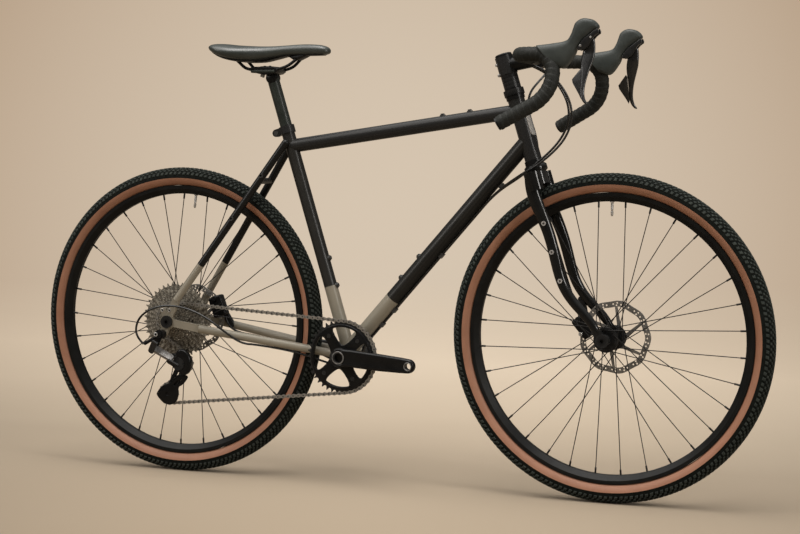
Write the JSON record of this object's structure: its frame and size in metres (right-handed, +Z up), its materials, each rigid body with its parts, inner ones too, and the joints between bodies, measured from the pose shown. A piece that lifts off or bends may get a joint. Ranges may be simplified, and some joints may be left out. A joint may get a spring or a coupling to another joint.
{
  "type": "gravel bike",
  "caption": "Drop-bar gravel bike with a steel frame, curved fork, knobbly tyres, disc brakes and a single-ring derailleur drivetrain.",
  "frame": {"origin": "on the ground halfway between the wheel axles, in the bike's middle plane", "axes": "+X forward along the direction of travel, +Y to the bike's left side, +Z up"},
  "size_m": [1.7393, 0.4722, 1.0275],
  "materials": {
    "frame_black": "satin",
    "frame_sand": "satin",
    "fork_black": "gloss",
    "fittings_metal": "satin",
    "badge_metal": "satin",
    "anodised_black": "satin",
    "rail_steel": "satin",
    "rotor_steel": "brushed",
    "cover": "matte",
    "black_plastic": "matte",
    "tape": "matte",
    "rubber": "matte",
    "tyre": "matte"
  },
  "bodies": {
    "frame": {"head_tube": "frame_black", "top_tube": "frame_black", "down_tube": "frame_black", "seat_tube": "frame_black", "bb_shell": "frame_sand", "chainstays": "frame_sand", "seatstays": "frame_sand", "dropouts": "frame_sand", "frame_fittings": "fittings_metal", "frame_screws": "fittings_metal", "head_badge": "badge_metal", "bearing_cups": "anodised_black", "seat_clamp": "anodised_black", "rear_axle": "anodised_black", "rear_caliper": "anodised_black", "rear_brake_hose": "black_plastic", "shift_housing": "black_plastic", "derailleur_base": "anodised_black", "chain": "rotor_steel"},
    "seat": {"seatpost": "anodised_black", "saddle_clamp": "anodised_black", "saddle_rails": "rail_steel", "saddle_shell": "black_plastic", "saddle_cover": "cover"},
    "steering": {"fork_crown": "fork_black", "fork_blades": "fork_black", "fork_bosses": "fittings_metal", "headset_spacers": "anodised_black", "stem": "anodised_black", "stem_faceplate": "anodised_black", "cockpit_bolts": "fittings_metal", "handlebar": "anodised_black", "bar_tape": "tape", "lever_hoods": "rubber", "front_axle": "anodised_black", "front_caliper": "anodised_black", "front_brake_hose": "black_plastic"},
    "brake_lever_right": {"brake_lever_right": "anodised_black"},
    "brake_lever_left": {"brake_lever_left": "anodised_black"},
    "shift_paddle_right": {"shift_paddle_right": "black_plastic"},
    "shift_paddle_left": {"shift_paddle_left": "black_plastic"},
    "front_wheel": {"front_tyre": "tyre", "front_rim": "anodised_black", "front_spokes": "rail_steel", "front_hub": "anodised_black", "front_rotor": "rotor_steel"},
    "rear_wheel": {"rear_tyre": "tyre", "rear_rim": "anodised_black", "rear_spokes": "rail_steel", "rear_hub": "anodised_black", "rear_rotor": "rotor_steel"},
    "cassette": {"cassette": "rotor_steel"},
    "crank": {"crank_right": "anodised_black", "crank_left": "anodised_black", "chainring": "anodised_black"},
    "derailleur_link": {"derailleur_link": "anodised_black"},
    "derailleur_knuckle": {"derailleur_knuckle": "anodised_black"},
    "derailleur_cage": {"derailleur_cage": "anodised_black"},
    "guide_pulley": {"guide_pulley": "black_plastic"},
    "tension_pulley": {"tension_pulley": "black_plastic"}
  },
  "joints": [
    {"name": "seat_height", "type": "slide", "parent": "frame", "child": "seat", "axis": [-0.299, 0, 0.9542], "range_m": [-0.09, 0.06]},
    {"name": "steer", "type": "hinge", "parent": "frame", "child": "steering", "pos_m": [0.31857, 0, 0.79641], "axis": [-0.3015, 0, 0.9535], "range_deg": [-60, 60], "deforming": ["rear_brake_hose", "shift_housing"]},
    {"name": "front_wheel_spin", "type": "hinge", "parent": "steering", "child": "front_wheel", "pos_m": [0.5147, 0, 0.355], "axis": [0, 1, 0], "continuous": true},
    {"name": "rear_wheel_spin", "type": "hinge", "parent": "frame", "child": "rear_wheel", "pos_m": [-0.5147, 0, 0.355], "axis": [0, 1, 0], "continuous": true},
    {"name": "crank_spin", "type": "hinge", "parent": "frame", "child": "crank", "pos_m": [-0.09, 0, 0.291], "axis": [0, 1, 0], "continuous": true, "deforming": ["chain"]},
    {"name": "cassette_spin", "type": "hinge", "parent": "frame", "child": "cassette", "pos_m": [-0.5147, 0, 0.355], "axis": [0, 1, 0], "continuous": true},
    {"name": "brake_lever_right_pull", "type": "hinge", "parent": "steering", "child": "brake_lever_right", "pos_m": [0.51695, -0.178, 0.98031], "axis": [0, 1, 0], "range_deg": [0, 18], "stiffness_Nm_per_rad": 1.5, "springref_deg": -5.73},
    {"name": "brake_lever_left_pull", "type": "hinge", "parent": "steering", "child": "brake_lever_left", "pos_m": [0.51695, 0.178, 0.98031], "axis": [0, 1, 0], "range_deg": [0, 18], "stiffness_Nm_per_rad": 1.5, "springref_deg": -5.73},
    {"name": "shift_paddle_right_push", "type": "hinge", "parent": "brake_lever_right", "child": "shift_paddle_right", "pos_m": [0.49345, -0.19016, 0.90331], "axis": [0, 0, -1], "range_deg": [0, 20], "stiffness_Nm_per_rad": 0.2, "springref_deg": -5.73},
    {"name": "shift_paddle_left_push", "type": "hinge", "parent": "brake_lever_left", "child": "shift_paddle_left", "pos_m": [0.49345, 0.19016, 0.90331], "axis": [0, 0, 1], "range_deg": [0, 20], "stiffness_Nm_per_rad": 0.2, "springref_deg": -5.73},
    {"name": "derailleur_shift", "type": "hinge", "parent": "frame", "child": "derailleur_link", "pos_m": [-0.55112, -0.07695, 0.29268], "axis": [0.1465, 0.7939, 0.5902], "range_deg": [-38, 38]},
    {"name": "derailleur_level", "type": "hinge", "parent": "derailleur_link", "child": "derailleur_knuckle", "pos_m": [-0.50847, -0.06692, 0.2686], "axis": [0.1465, 0.7939, 0.5902], "range_deg": [-40, 40]},
    {"name": "derailleur_cage_swing", "type": "hinge", "parent": "derailleur_knuckle", "child": "derailleur_cage", "pos_m": [-0.4897, -0.0465, 0.258], "axis": [0, 1, 0], "range_deg": [-45, 40], "stiffness_Nm_per_rad": 1},
    {"name": "guide_pulley_spin", "type": "hinge", "parent": "derailleur_cage", "child": "guide_pulley", "pos_m": [-0.4897, -0.0465, 0.258], "axis": [0, 1, 0], "continuous": true},
    {"name": "tension_pulley_spin", "type": "hinge", "parent": "derailleur_cage", "child": "tension_pulley", "pos_m": [-0.52633, -0.0465, 0.18463], "axis": [0, 1, 0], "continuous": true}
  ],
  "couplings": [
    {"joint": "cassette_spin", "follows": "crank_spin", "ratio": 1.9048},
    {"joint": "guide_pulley_spin", "follows": "crank_spin", "ratio": -3.6364},
    {"joint": "tension_pulley_spin", "follows": "crank_spin", "ratio": 3.6364},
    {"joint": "derailleur_level", "follows": "derailleur_shift", "ratio": -1}
  ]
}
